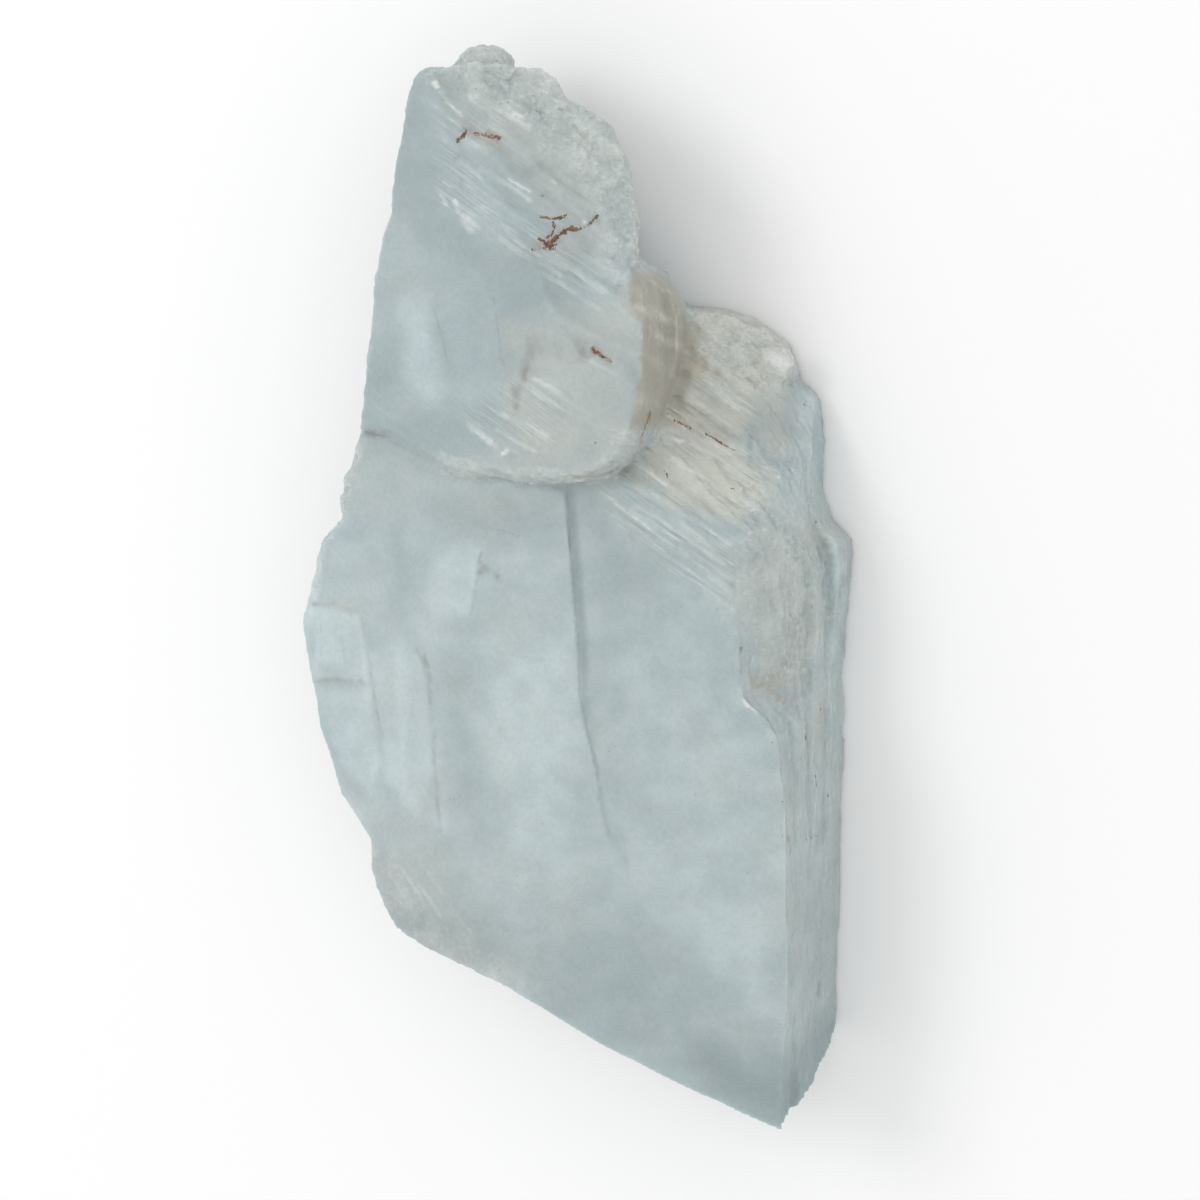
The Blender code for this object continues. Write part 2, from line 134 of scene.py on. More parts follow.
# Crumbly where it is broken across.
CRUMBLY = [
    (2.2, 1.0, [(-17.0, 69.0), (-12.0, 67.0), (-3.0, 63.5), (2.6, 57.5), (8.0, 49.0), (11.5, 40.0),
                (20.0, 38.0), (20.0, 80.0), (-20.0, 80.0)]),
    (1.6, 1.0, [(15.5, 34.5), (19.3, 29.5), (25.0, 27.0), (29.0, 26.0), (40.0, 30.0), (30.0, 50.0),
                (12.0, 50.0)]),
    (1.5, 0.6, [(27.0, 20.5), (29.0, 20.5), (33.2, 18.5), (33.6, 11.5), (29.6, 9.0), (26.4, 12.0)]),
    (2.5, 0.6, [(27.2, 12.0), (34.5, 12.0), (38.4, 4.0), (37.4, -10.0), (33.8, -19.0), (28.2, -12.9),
                (27.6, -1.1)]),
    (0.5, 0.6, [(-14.0, 17.6), (-4.6, 16.3), (3.0, 16.3), (9.0, 17.0), (11.8, 19.2), (12.6, 22.0),
                (16.0, 22.0), (15.0, 17.6), (10.0, 14.3), (-10.0, 13.3), (-16.0, 15.5)]),
    (0.8, 1.0, [(-39.0, -5.0), (-35.6, -4.0), (-33.0, 3.0), (-30.0, 9.0), (-27.4, 16.0), (-26.0, 23.0),
                (-33.0, 24.0), (-42.0, 6.0)]),
    (0.8, 0.7, [(-25.6, 23.0), (-23.6, 45.0), (-19.6, 66.0), (-26.0, 66.0), (-32.0, 23.0)]),
    (1.0, 0.5, [(-28.0, -38.0), (-24.0, -38.0), (-16.0, -48.0), (-8.0, -52.0), (0.0, -56.0),
                (-20.0, -60.0), (-34.0, -50.0)]),
]
# White veils inside it.
MILKY = [
    (4.5, 0.55, [(-5.8, -7.6), (3.7, -8.5), (5.1, -15.3), (7.2, -23.5), (2.8, -36.3), (-5.3, -39.1),
                 (-7.7, -30.0), (-7.3, -16.0)]),
    (0.7, 0.62, [(-36.1, -5.4), (-28.1, -5.7), (-27.0, -10.0), (-26.6, -14.8), (-35.4, -15.2)]),
    (1.0, 0.65, [(-35.6, -16.4), (-26.4, -16.0), (-25.5, -20.5), (-24.6, -26.0), (-26.5, -31.0),
                (-31.5, -26.9)]),
    (0.9, 0.5, [(-26.0, -11.0), (-20.1, -8.8), (-17.9, -10.2), (-16.4, -18.0), (-16.0, -26.0),
                 (-18.5, -33.0), (-24.0, -29.0), (-24.8, -22.0)]),
    (1.8, 0.7, [(-20.2, 38.5), (-15.6, 39.0), (-13.9, 33.3), (-12.9, 27.9), (-15.3, 25.1), (-19.2, 27.6)]),
    (2.5, 0.3, [(-13.0, 38.5), (-5.4, 37.7), (-4.8, 27.7), (-11.0, 24.0)]),
    (7.0, 0.35, [(14.3, -6.6), (28.1, -7.4), (32.7, -19.2), (34.3, -35.5), (23.0, -41.8), (12.9, -37.0),
                 (8.6, -23.5)]),
    (3.0, 0.4, [(16.0, -44.0), (26.0, -40.0), (33.0, -44.0), (32.0, -56.0), (24.0, -50.0)]),
    (1.8, 0.7, [(-15.4, 4.0), (-9.8, 4.6), (-10.6, -4.6), (-14.4, -4.9), (-16.6, -2.8)]),
    (0.2, 0.72, [(-13.1, 4.5), (-8.7, 4.7), (-9.2, 1.9), (-9.7, -1.6), (-10.4, -4.7), (-12.2, -4.0),
                (-12.0, 0.6)]),
    (0.8, 1.0, [(25.6, 32.2), (28.2, 32.8), (30.8, 30.4), (30.2, 28.6), (27.6, 28.4), (26.0, 29.2)]),
    (2.0, 0.95, [(16.6, 38.0), (22.0, 38.0), (28.0, 33.0), (28.0, 27.0), (22.0, 26.0), (18.4, 30.0)]),
    (1.2, 0.7, [(31.2, 27.6), (33.4, 25.6), (35.0, 17.8), (35.0, 9.6), (33.2, 9.6), (32.9, 19.7)]),
    (0.7, 0.9, [(35.4, 9.6), (37.4, 8.0), (38.2, 2.0), (37.2, -1.0), (36.3, 4.0)]),
]
PANES = MILKY[1:4]  # at the left edge, with upright streaks
# Stained a little yellow.
CREAMY = [
    (2.0, 1.2, [(15.6, 20.7), (16.5, 30.2), (15.7, 38.9), (26.0, 38.0), (31.8, 30.0), (27.1, 26.2),
                (25.4, 20.3), (29.0, 14.0), (27.6, 10.0), (20.9, 11.5), (12.0, 15.6)]),
    (3.0, 0.5, [(-12.7, 74.9), (5.0, 73.0), (14.0, 64.0), (16.0, 50.0), (9.2, 44.6), (3.6, 47.2),
                (-2.5, 56.4), (-10.4, 62.3), (-14.2, 68.3)]),
    (4.5, 0.3, [(-29.1, -38.1), (-15.0, -37.6), (-4.2, -51.9), (-6.1, -57.5), (-18.4, -55.1),
                (-28.8, -48.1)]),
    (1.6, 0.5, [(-13.6, 16.0), (-1.6, 19.3), (10.4, 21.2), (14.3, 25.4), (15.7, 19.5), (10.1, 14.8),
                (-1.7, 13.8)]),
    (4.0, 0.25, [(-28.9, 21.8), (-11.4, 14.5), (3.0, 14.4), (3.1, 9.3), (-8.6, 7.4), (-20.8, 10.9),
                 (-30.8, 10.4)]),
    (3.0, 0.55, [(-3.0, 36.0), (6.0, 38.0), (16.0, 42.0), (16.0, 22.0), (9.0, 17.0), (-6.0, 17.0),
                 (-4.0, 27.0)]),
    (3.0, 0.5, [(27.2, 10.0), (33.7, 9.4), (36.4, 6.1), (36.2, -7.1), (33.5, -15.0), (28.7, -12.9),
                (28.2, -1.1)]),
    (3.0, 0.25, [(33.7, -14.0), (37.7, -10.0), (37.4, -46.1), (34.7, -60.0), (34.0, -40.0)]),
    (2.0, 0.6, [(25.4, 26.4), (30.6, 27.6), (32.6, 19.7), (29.4, 18.2), (25.5, 22.0)]),
    (1.0, 0.5, [(12.6, 50.0), (18.0, 48.0), (20.0, 38.0), (15.0, 37.0), (13.4, 44.0)]),
    (2.0, 2.0, [(16.8, 30.6), (19.0, 31.2), (21.2, 29.4), (21.0, 27.2), (18.8, 26.6), (17.2, 28.0)]),
]
# Clearer, and so darker.
DEEP = [
    (9.0, 0.7, [(-2.1, -44.9), (14.4, -47.5), (35.0, -56.9), (38.2, -75.4), (21.6, -71.1), (-2.2, -60.9)]),
    (5.0, 1.7, [(18.0, -58.0), (30.0, -62.0), (38.2, -60.0), (38.2, -75.4), (24.0, -70.0)]),
    (3.0, 1.0, [(-20.4, 68.9), (-12.6, 64.3), (-10.6, 57.7), (-7.6, 46.7), (3.9, 45.3), (-1.6, 41.8),
                (-16.7, 44.1), (-24.6, 52.1)]),
    (4.0, 0.55, [(-32.0, 18.0), (-16.0, 16.0), (-4.0, 13.0), (14.0, 16.0), (18.0, 40.0), (16.0, 80.0),
                 (-20.0, 80.0), (-30.0, 50.0)]),
    (1.5, 0.8, [(25.4, 26.4), (30.6, 26.8), (32.6, 19.7), (29.4, 18.2), (25.5, 22.0)]),
    (3.0, 0.5, [(6.7, 12.0), (10.4, 9.6), (13.3, -1.2), (10.4, -12.3), (7.1, -15.3), (6.9, -1.6)]),
    (1.5, 0.35, [(-22.1, 7.7), (-19.4, 9.9), (-19.9, -8.3), (-22.0, -8.5)]),
    (2.5, 0.35, [(-14.0, -10.0), (-9.0, -9.0), (-8.0, -36.0), (-13.0, -36.0)]),
    (3.0, 0.35, [(34.2, -40.0), (38.2, -40.0), (38.2, -72.0), (34.2, -72.0)]),
    (3.0, 0.3, [(28.0, 8.0), (37.0, 8.0), (37.0, -12.0), (33.0, -16.0), (28.0, -10.0)]),
    (5.0, 0.95, [(-29.0, -37.0), (-15.0, -37.0), (-4.0, -52.0), (-20.0, -57.0), (-32.0, -48.0)]),
    (2.5, 0.45, [(-27.0, 14.0), (-10.0, 12.5), (3.0, 12.5), (3.0, 6.0), (-20.0, 8.0)]),
]

# Thin dark marks: half width, depth of the groove, how strong, and the points.
STAINS = [
    (0.28, 0.08, 1.0, [(-11.1, 60.2, 24.1), (-10.6, 60.7, 23.7), (-10.2, 61.5, 23.2)]),
    (0.26, 0.04, 0.62, [(-8.9, 61.2, 23.3), (-7.5, 60.9, 23.2), (-5.4, 60.6, 23.1)]),
    (0.22, 0.08, 1.0, [(0.9, 50.2, 24.2), (1.8, 50.1, 24.2), (2.6, 50.0, 24.2), (3.5, 50.1, 24.0),
                       (4.2, 50.5, 23.5)]),
    (0.17, 0.08, 0.8, [(2.6, 49.6, 24.2), (2.8, 48.8, 24.2), (2.6, 48.0, 24.4), (2.2, 47.6, 24.9),
                       (1.5, 47.0, 25.0)]),
    (0.32, 0.10, 1.0, [(2.0, 46.6, 25.2), (2.8, 47.1, 24.8), (3.3, 47.7, 24.2), (4.2, 48.3, 24.2),
                       (4.8, 48.7, 23.6), (5.6, 48.6, 23.3)]),
    (0.18, 0.05, 0.7, [(5.6, 48.6, 23.3), (6.6, 48.9, 23.0), (7.4, 49.3, 23.0)]),
    (0.18, 0.06, 0.85, [(0.1, 45.9, 25.5), (1.2, 46.1, 25.3), (2.2, 46.2, 25.2), (3.3, 46.0, 24.8)]),
    (0.24, 0.05, 0.75, [(1.0, 47.4, 25.3), (1.8, 46.8, 25.2), (2.5, 46.3, 25.0), (3.4, 46.8, 24.8)]),
    (0.22, 0.04, 0.7, [(7.4, 49.4, 23.0), (7.9, 50.0, 22.6), (8.3, 50.4, 22.2)]),
    (0.26, 0.08, 0.85, [(9.0, 33.0, 26.4), (9.3, 32.5, 26.5), (9.9, 32.4, 26.5), (10.3, 32.0, 26.6)]),
    (0.24, 0.06, 0.75, [(10.3, 32.0, 26.6), (11.0, 31.9, 26.6), (11.8, 31.2, 26.8)]),
    (0.13, 0.10, 1.0, [(9.6, 20.4, 27.1), (9.7, 20.3, 27.1)]),
    (0.16, 0.04, 0.75, [(16.0, 23.7, 18.1), (17.2, 22.7, 16.2), (19.3, 21.7, 16.0)]),
    (0.20, 0.05, 0.9, [(21.5, 21.0, 15.7), (22.2, 20.7, 15.5), (23.7, 19.7, 15.5)]),
    (0.14, 0.03, 0.6, [(23.7, 19.6, 15.5), (25.3, 18.8, 15.0)]),
    (0.16, 0.05, 0.8, [(35.0, -18.5, 13.0), (35.0, -20.6, 12.9)]),
    (0.18, 0.05, 0.9, [(35.9, -25.6, 11.1), (36.0, -27.2, 11.3)]),
    (0.14, 0.04, 0.65, [(35.1, -34.2, 17.0), (35.5, -34.1, 13.2), (35.9, -34.5, 9.1)]),
    (0.28, 0.05, 0.85, [(16.1, 24.3, 23.3), (16.0, 22.9, 24.8)]),
    (0.20, 0.05, 0.6, [(15.9, 22.6, 24.8), (15.5, 20.8, 25.0)]),
    (0.13, 0.03, 0.7, [(16.9, 16.4, 20.3), (17.7, 15.6, 20.5)]),
    (0.13, 0.03, 0.7, [(25.3, 14.7, 17.8), (26.1, 13.9, 17.7)]),
]
# Small dark spots: half width, how strong, and the middle.
SPECKS = [
    (0.24, 0.7, (33.0, -19.5, 22.0)), (0.16, 0.7, (34.6, -25.8, 17.0)), (0.20, 0.5, (34.5, -27.6, 21.8)),
    (0.30, 0.5, (36.4, -29.2, 7.0)), (0.14, 0.8, (34.5, -32.4, 22.0)), (0.22, 0.9, (35.3, -46.3, 19.3)),
    (0.30, 0.5, (32.0, 24.2, 4.5)), (0.14, 0.7, (19.7, 34.2, 7.4)), (0.30, 0.55, (33.8, 4.2, 14.2)),
    (0.20, 0.6, (33.7, 9.1, 8.0)), (0.20, 0.6, (34.4, 8.6, 6.9)), (0.14, 0.7, (35.4, -2.3, 12.2)),
    (0.24, 0.6, (35.8, -16.9, 8.5)), (0.20, 0.5, (35.9, -18.3, 7.0)), (0.20, 0.5, (6.8, 57.3, 22.0)),
    (0.24, 0.5, (0.9, 53.0, 23.7)), (0.24, 0.55, (-11.7, 67.1, 22.0)), (0.20, 0.55, (-9.3, 67.2, 21.9)),
    (0.22, 0.5, (-6.2, 68.6, 20.9)), (0.12, 0.6, (-0.6, 52.3, 24.2)), (0.20, 0.5, (12.2, 53.1, 21.7)),
    (0.14, 0.5, (5.4, 59.5, 21.7)), (0.24, 0.6, (18.9, 29.1, 11.4)), (0.10, 0.7, (13.3, 43.2, 24.3)),
    (0.18, 0.5, (35.3, -41.0, 20.0)), (0.18, 0.5, (36.1, -41.8, 7.0)), (0.22, 0.5, (-24.6, 20.1, 22.0)),
]
# Rust and grey dirt: half width, how strong, and the points.
RUST = [
    (0.35, 0.45, [(6.3, 15.5), (10.0, 16.1), (12.4, 16.6)]),
    (0.40, 0.6, [(12.4, 17.0, 25.0), (13.9, 18.6, 23.6), (15.6, 21.1, 25.1)]),
    (0.55, 1.0, [(15.9, 23.2, 23.4), (16.1, 24.1, 24.0)]), (0.5, 0.6, [(16.1, 27.8, 20.8)]),
    (0.45, 0.9, [(32.7, -14.2, 17.4)]), (0.60, 0.6, [(21.2, 28.8, 10.0)]), (1.6, 0.4, [(18.8, 29.6, 10.8)]),
    (2.0, 0.35, [(32.0, -11.4, 18.4)]), (1.2, 0.45, [(30.3, -11.6, 20.0)]), (0.6, 0.5, [(35.8, -17.2, 8.0)]),
    (0.8, 0.4, [(-9.0, 61.4, 23.2), (-6.0, 60.4, 23.1)]), (0.7, 0.4, [(-5.6, 59.3, 23.4)]),
    (0.8, 0.45, [(1.6, 47.0, 25.0), (3.8, 48.0, 24.4)]), (0.6, 0.6, [(9.6, 32.6, 26.5), (11.2, 31.8, 26.7)]),
    (0.5, 0.6, [(8.1, 50.1, 22.5)]), (0.5, 0.5, [(17.0, 23.0), (20.0, 21.6), (24.0, 19.6)]),
]
SMUDGES = [
    (0.8, 1.2, [(-8.1, 2.0)]), (0.5, 0.8, [(-7.4, 1.8), (-6.1, 1.2)]), (1.0, 0.5, [(0.5, 33.7), (0.0, 31.8)]),
    (0.6, 0.8, [(-1.0, 30.6), (-1.1, 28.8)]), (0.5, 0.75, [(-2.2, 26.9), (-2.2, 24.7)]),
    (0.7, 0.5, [(7.5, 35.7)]), (1.3, 0.7, [(7.2, 33.4), (8.4, 32.4)]),
    (1.4, 0.25, [(2.0, 33.0), (6.0, 32.0)]),
    (0.7, 0.6, [(-10.0, 62.1), (-9.0, 62.0), (-7.8, 61.5), (-6.0, 60.9)]),
    (0.7, 0.4, [(1.2, 46.8), (3.0, 47.2)]),
    (0.35, 1.0, [(-18.6, 67.2), (-18.0, 67.9)]), (0.6, 0.75, [(-11.2, 57.9)]),
    (0.7, 0.5, [(-10.3, 56.3), (-10.0, 54.6)]), (0.9, 0.35, [(-1.4, 55.8)]),
    (0.8, 0.4, [(0.2, 56.8)]), (0.7, 0.4, [(6.8, 57.3)]), (0.8, 0.5, [(0.9, 53.0)]),
    (0.7, 0.4, [(11.5, 57.2)]),
    (0.5, 0.8, [(-26.6, 20.0), (-24.6, 20.0)]), (0.4, 0.5, [(-24.0, 20.0), (-21.9, 20.3)]),
    (0.45, 0.7, [(-17.1, -10.8), (-16.8, -12.4), (-16.4, -14.0)]),
    (0.3, 0.4, [(-18.2, -9.7), (-16.4, -14.4)]),
    (0.18, 1.0, [(28.4, -7.1), (28.5, -10.3)]),
    (0.8, 0.45, [(29.1, 8.6, 20.0), (29.3, 7.0, 19.9)]), (0.7, 0.5, [(27.0, 1.7, 21.6)]),
    (0.5, 0.6, [(34.5, -32.6, 21.0), (34.9, -34.6, 20.0)]), (0.6, 0.5, [(35.1, -38.5, 21.0)]),
    (0.8, 0.4, [(34.9, -27.6, 19.0)]), (0.5, 0.5, [(33.2, -9.7, 16.6)]), (0.9, 0.5, [(-18.2, 67.4)]),
    (0.13, 0.45, [(-5.6, 39.3), (-5.0, 35.8), (-4.6, 32.4), (-3.7, 29.2), (-4.5, 26.2)]),
    (0.13, 0.35, [(-14.9, 38.0), (-13.7, 34.7), (-12.7, 30.4)]),
    (0.12, 0.3, [(-13.4, 38.5), (-9.9, 37.8), (-5.9, 36.3)]),
    (0.25, 0.4, [(-35.6, -15.8), (-32.7, -15.3), (-30.2, -15.2), (-27.6, -15.0)]),
    (0.25, 0.35, [(-36.1, -4.9), (-33.6, -4.7), (-32.1, -4.3), (-30.3, -5.2), (-28.1, -5.1)]),
    (0.22, 0.25, [(-27.7, -5.4), (-26.5, -11.1), (-25.3, -18.5), (-24.2, -22.8)]),
    (0.2, 0.3, [(-34.5, -6.1), (-34.4, -13.6)]), (0.2, 0.2, [(-31.3, -5.8), (-31.0, -9.0), (-30.4, -13.3)]),
    (0.35, 0.35, [(-16.6, -14.0), (-16.2, -18.0), (-15.8, -25.0), (-15.0, -34.8)]),
    (0.16, 0.5, [(-8.4, 4.2), (-8.9, 1.9), (-9.4, -1.6), (-10.1, -4.7)]),
    (0.10, 0.5, [(-8.7, 7.7), (-5.6, 7.6), (-3.0, 6.8)]),
    (0.10, 0.5, [(-1.5, -3.9), (-2.5, -1.9), (-3.5, -1.3)]),
    (0.35, 0.35, [(26.9, 20.8), (27.2, 17.9), (27.8, 15.1)]),
    (0.5, 0.4, [(19.0, 24.6), (25.4, 20.0)]), (0.4, 0.35, [(15.4, 17.0), (24.0, 10.8)]),
]
# Thin or small white marks, and painted glints, which are sparkles and highlights on streaks and edges: half
# width, how strong, and the points.
PAINTED_GLINTS_AND_WHITE_MARKS = [
    (0.22, 0.6, [(-13.9, 66.7), (-12.7, 65.1), (-10.9, 63.5)]), (0.35, 0.9, [(-14.6, 68.0), (-14.3, 67.5)]),
    (0.40, 0.45, [(-10.1, 66.1), (-5.8, 64.1), (-1.8, 62.2)]), (0.30, 0.5, [(-3.8, 63.9), (-2.6, 63.4)]),
    (0.35, 0.45, [(-7.7, 56.6), (-4.2, 54.5), (-0.7, 52.5)]), (0.18, 0.6, [(-3.8, 55.2), (-0.7, 53.6)]),
    (0.22, 0.7, [(1.8, 55.1), (2.4, 54.7)]), (0.40, 0.4, [(-1.4, 58.9)]),
    (0.22, 0.8, [(6.5, 49.6), (6.8, 49.5)]),
    (0.28, 0.6, [(-13.4, 52.7), (-12.7, 51.7)]), (0.34, 0.6, [(-11.4, 52.2), (-10.9, 50.8)]),
    (0.75, 0.6, [(-10.1, 49.8), (-8.7, 49.0)]), (0.45, 0.5, [(-7.9, 51.4), (-6.9, 50.9)]),
    (0.35, 0.3, [(0.4, 45.7), (9.6, 41.2)]), (0.30, 0.3, [(-4.6, 47.1), (4.0, 42.6)]),
    (0.35, 0.3, [(3.8, 44.2), (10.5, 40.4)]), (0.30, 0.25, [(1.4, 43.0), (9.4, 38.4)]),
    (0.30, 0.35, [(0.4, 28.9), (4.3, 27.0)]), (0.30, 0.35, [(0.4, 26.9), (4.0, 25.0)]),
    (0.50, 0.6, [(-8.9, 21.8), (-6.0, 19.9)]), (0.55, 0.45, [(-4.3, 23.8), (2.0, 20.9)]),
    (1.1, 0.8, [(27.6, 31.2), (29.6, 29.6)]), (0.32, 0.8, [(-4.3, 18.2), (-3.6, 18.8)]),
    (0.30, 0.4, [(-5.0, 21.4), (0.6, 18.8)]),
    (0.20, 0.8, [(13.4, 17.1), (17.5, 14.4)]), (0.40, 0.22, [(12.7, 11.2), (26.5, 0.8)]),
    (0.30, 0.28, [(14.2, 11.7), (26.1, 4.1)]), (0.30, 0.4, [(15.5, 13.7), (26.6, 6.7)]),
    (0.30, 0.4, [(18.0, 18.0), (26.4, 12.4)]), (0.30, 0.45, [(19.5, 20.2), (27.8, 15.0)]),
    (0.16, 0.8, [(16.4, 23.2), (19.3, 21.2), (23.7, 19.1)]), (0.22, 1.0, [(16.4, 20.7), (18.7, 20.0)]),
    (0.14, 0.7, [(10.0, 12.2), (15.7, 8.4)]), (0.16, 0.7, [(20.6, 21.5), (25.0, 18.3)]),
    (0.40, 0.4, [(17.8, 25.6), (24.0, 22.0)]), (0.35, 0.4, [(18.4, 27.8), (24.8, 24.2)]),
    (0.22, 0.9, [(25.5, 28.2)]), (0.15, 0.9, [(32.2, 16.0)]), (0.18, 0.9, [(32.2, 13.9)]),
    (0.16, 0.9, [(31.0, 15.2)]), (0.40, 0.7, [(28.7, 13.3), (28.3, 12.2)]), (0.30, 0.7, [(29.0, 11.3)]),
    (0.30, 0.9, [(36.6, 6.4, 6.6)]), (0.30, 0.6, [(37.4, 5.6, 3.0), (37.6, 4.1, 2.2)]),
    (0.28, 0.9, [(29.0, -14.0, 21.9), (29.8, -14.8, 21.8), (30.7, -15.6, 21.4)]),
    (0.22, 0.4, [(30.7, -15.6, 21.4), (32.0, -17.3, 20.8), (32.8, -19.0, 21.8), (33.7, -21.6, 21.0)]),
    (0.28, 0.35, [(34.7, -0.3, 12.9), (34.8, -3.0, 13.0)]),
    (0.22, 0.3, [(34.5, -5.7, 13.8), (33.8, -7.8, 15.3)]),
    (0.30, 0.3, [(33.8, -8.3, 15.0), (35.1, -8.3, 12.3)]), (0.16, 0.7, [(12.6, 24.9, 27.0)]),
    (0.30, 0.22, [(-22.0, -40.0), (-17.8, -45.8)]), (0.35, 0.22, [(-20.7, -40.1), (-15.3, -46.9)]),
    (0.25, 0.2, [(-23.4, -41.8), (-19.6, -48.0)]), (0.30, 0.15, [(-17.0, -41.0), (-10.5, -48.8)]),
]
# The long crack under the blade.
CRACK = [(3.8, 13.1), (4.1, 9.2), (4.8, 1.1), (5.5, -7.1), (5.8, -14.9), (7.0, -20.5), (8.1, -24.6),
         (8.9, -29.8), (10.1, -34.4), (12.8, -38.0)]
# Where the CAD model's step is softer in the photo: the middle, and how far round it.
SOFTENED = [((-12.6, 64.9), 5.0)]
SOFTENING_ROUNDS = 25

# Large odd numbers that mix the bits of a cell's place and of its seed.
MIX_X, MIX_Y, MIX_Z, MIX_SEED, MIX_LAST = 374761393, 668265263, 1440662683, 1274126177, 2246822519
BITS_32 = 0xFFFFFFFF
BITS_24 = 0xFFFFFF


def hashed(x, y, z, seed):
    """Numbers from 0 to 1 for whole-numbered cells, the same on each run."""
    n = (x * MIX_X + y * MIX_Y + z * MIX_Z + seed * MIX_SEED) & BITS_32
    n = ((n ^ (n >> 13)) * MIX_SEED) & BITS_32
    n = ((n ^ (n >> 15)) * MIX_LAST) & BITS_32
    return ((n ^ (n >> 16)) & BITS_24) / BITS_24


def eased(part):
    """A share from 0 to 1 that starts and ends slowly."""
    return part * part * (3 - 2 * part)


def smooth_step(low, high, value):
    """From 0 at low to 1 at high, where low may be the larger one."""
    return eased(np.clip((value - low) / (high - low), 0, 1))


def soft_noise(points, size, seed):
    """Smooth noise from -1 to 1 at each point. size is a length, or one for each axis."""
    p = points / np.array(size, float)
    cell = np.floor(p).astype(np.int64)
    part = eased(p - cell)
    total = 0.0
    for corner in np.ndindex(2, 2, 2):
        weight = 1.0
        for axis in range(3):
            weight = weight * (part[:, axis] if corner[axis] else 1 - part[:, axis])
        total = total + weight * hashed(*(cell[:, axis] + corner[axis] for axis in range(3)), seed)
    return total * 2 - 1


def rough_noise(points, size, seed, octaves=3):
    """Noise with finer noise on top, from -1 to 1 for three octaves."""
    size = np.array(size, float)
    three_octaves = 1 + 1 / 2 + 1 / 4
    return sum(soft_noise(points, size / 2**k, seed + k) / 2**k for k in range(octaves)) / three_octaves


def facets(points, size, seed):
    """A surface of flat chips, each with its own height and tilt, from -1 to 1."""
    gain = 1.6
    p = points / np.array(size, float)
    base = np.floor(p).astype(np.int64)
    nearest = np.full(len(p), np.inf)
    height = np.zeros(len(p))
    for shift in np.ndindex(3, 3, 3):
        cell = base + np.array(shift) - 1
        key = [cell[:, axis] for axis in range(3)]
        centre = cell + np.stack([hashed(*key, seed + axis) for axis in range(3)], 1)
        offset = p - centre
        distance = np.linalg.norm(offset, axis=1)
        tilt = np.stack([hashed(*key, seed + 3 + axis) - 0.5 for axis in range(3)], 1)
        own = hashed(*key, seed + 7) - 0.5 + gain * (offset * tilt).sum(1)
        closer = distance < nearest
        nearest = np.where(closer, distance, nearest)
        height = np.where(closer, own, height)
    return np.clip(height * gain, -1, 1)


def inside(points, corners):
    """Distance to an outline in the plane of the sheets, more than 0 inside it."""
    x, y = points[:, 0], points[:, 1]
    nearest = np.full(len(points), np.inf)
    within = np.zeros(len(points), bool)
    for (x0, y0), (x1, y1) in zip(corners, corners[1:] + corners[:1]):
        dx, dy = x1 - x0, y1 - y0
        share = np.clip(((x - x0) * dx + (y - y0) * dy) / (dx * dx + dy * dy), 0, 1)
        nearest = np.minimum(nearest, np.hypot(x - x0 - share * dx, y - y0 - share * dy))
        if y0 != y1:
            crosses = ((y0 > y) != (y1 > y)) & (x < x0 + (y - y0) * dx / dy)
            within ^= crosses
    return np.where(within, nearest, -nearest)


def area(points, corners, soft, seed):
    """From 0 outside an outline to 1 inside it, with a soft and uneven edge."""
    uneven = (0.3 + 0.7 * soft) * rough_noise(points, 2.5 + 1.5 * soft, seed)
    return smooth_step(-soft, soft, inside(points, corners) + uneven)


def areas(points, table, seed):
    """The strongest of several areas at each point."""
    value = np.zeros(len(points))
    for i, (soft, strength, corners) in enumerate(table):
        value = np.maximum(value, strength * area(points, corners, soft, seed + 11 * i))
    return value


def line_distance(points, path):
    """Distance to a line through the points of path, in the plane of the sheets or in space."""
    size = len(path[0])
    p = points[:, :size]
    nearest = np.linalg.norm(p - path[0], axis=1)
    for start, end in zip(path, path[1:]):
        start, along = np.array(start), np.array(end) - np.array(start)
        share = np.clip((p - start) @ along / (along @ along), 0, 1)
        nearest = np.minimum(nearest, np.linalg.norm(p - start - share[:, None] * along, axis=1))
    return nearest


def vertex_arrays(mesh):
    """The places of a mesh's points in mm, and its normals there."""
    places = np.empty(len(mesh.vertices) * 3)
    mesh.vertices.foreach_get("co", places)
    normals = np.empty(len(mesh.vertices) * 3)
    mesh.vertex_normals.foreach_get("vector", normals)
    return places.reshape(-1, 3) / MM, normals.reshape(-1, 3)


def set_places(mesh, places):
    """Moves a mesh's points to these places, and keeps them inside the CAD model's box."""
    low, high = (np.array(corner) / MM for corner in cad_box)
    mesh.vertices.foreach_set("co", (np.clip(places, low + 0.001, high - 0.001) * MM).ravel())
    mesh.update()


def with_modifier(obj, kind, **settings):
    """Replaces an object's mesh with the result of one modifier."""
    modifier = obj.modifiers.new(kind, kind)
    for name, value in settings.items():
        setattr(modifier, name, value)
    graph = bpy.context.evaluated_depsgraph_get()
    mesh = bpy.data.meshes.new_from_object(obj.evaluated_get(graph))
    obj.modifiers.remove(modifier)
    obj.data = mesh


def steepness(normals):
    """From 0 on the front and back to 1 on the sides."""
    return smooth_step(0.25, 0.6, 1 - np.abs(normals[:, 2]))


def even_sides(places, normals):
    """Where the sides are broken evenly: at the lower left, and on the tan wall beside the blade."""
    lower_left = smooth_step(0.5, 0.9, -normals[:, 0] - normals[:, 1]) * smooth_step(30.0, 20.0, places[:, 1])
    tan = smooth_step(12.8, 13.8, places[:, 0]) * smooth_step(19.0, 17.8, places[:, 0])
    tan *= smooth_step(20.0, 23.0, places[:, 1]) * smooth_step(6.0, 9.0, places[:, 2])
    return np.maximum(lower_left, tan)


